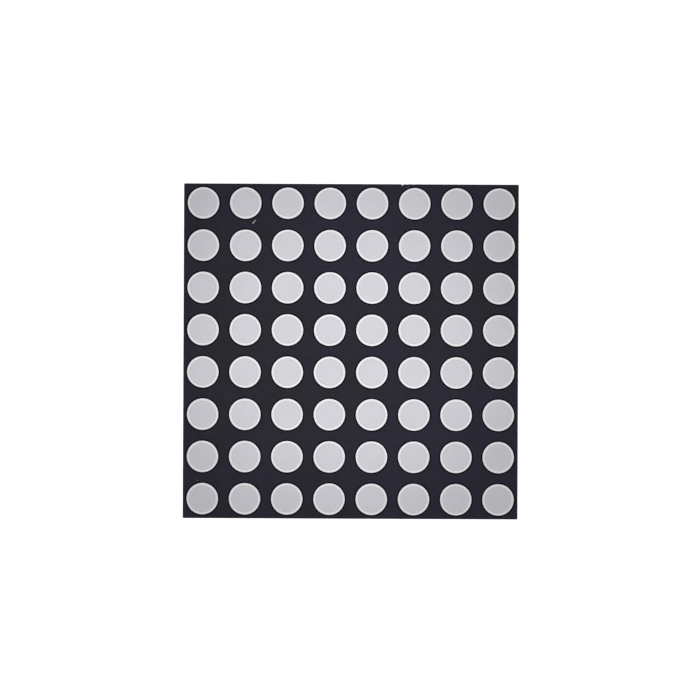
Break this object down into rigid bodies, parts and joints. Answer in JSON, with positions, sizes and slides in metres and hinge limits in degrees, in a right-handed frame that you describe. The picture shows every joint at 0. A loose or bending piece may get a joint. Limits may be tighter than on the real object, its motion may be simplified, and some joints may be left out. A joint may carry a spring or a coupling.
{
  "type": "led dot matrix display",
  "caption": "Square LED dot matrix: white moulded reflector with a black printed face, round milky resin dots in tapered cups, a resin-filled back and round pins in rows.",
  "frame": {"origin": "centre of the plane that the four feet stand on, which is also the centre of the pin field", "axes": "+Z out of the lit face, +X along the pin rows from the first pin, +Y from the lower pin row to the upper one"},
  "size_m": [0.0318, 0.0318, 0.0104],
  "materials": {
    "white_plastic": "satin",
    "black_print": "matt ink",
    "milky_resin": "milky",
    "board": "satin",
    "copper": "bare",
    "chips": "polished",
    "wire": "bright",
    "solder": "satin",
    "back_resin": "gloss",
    "pins": "tinned"
  },
  "bodies": {
    "root": {"reflector_housing": "white_plastic", "face_print": "black_print", "dot_row_1": "milky_resin", "dot_row_2": "milky_resin", "dot_row_3": "milky_resin", "dot_row_4": "milky_resin", "dot_row_5": "milky_resin", "dot_row_6": "milky_resin", "dot_row_7": "milky_resin", "dot_row_8": "milky_resin", "circuit_board": "board", "row_track_1": "copper", "row_track_2": "copper", "row_track_3": "copper", "row_track_4": "copper", "row_track_5": "copper", "row_track_6": "copper", "row_track_7": "copper", "row_track_8": "copper", "column_track_1": "copper", "column_track_2": "copper", "column_track_3": "copper", "column_track_4": "copper", "column_track_5": "copper", "column_track_6": "copper", "column_track_7": "copper", "column_track_8": "copper", "chip_row_1": "chips", "chip_row_2": "chips", "chip_row_3": "chips", "chip_row_4": "chips", "chip_row_5": "chips", "chip_row_6": "chips", "chip_row_7": "chips", "chip_row_8": "chips", "bond_wires": "wire", "solder_joints": "solder", "back_resin": "back_resin", "pin_1": "pins", "pin_2": "pins", "pin_3": "pins", "pin_4": "pins", "pin_5": "pins", "pin_6": "pins", "pin_7": "pins", "pin_8": "pins", "pin_9": "pins", "pin_10": "pins", "pin_11": "pins", "pin_12": "pins", "pin_13": "pins", "pin_14": "pins", "pin_15": "pins", "pin_16": "pins"}
  },
  "joints": []
}
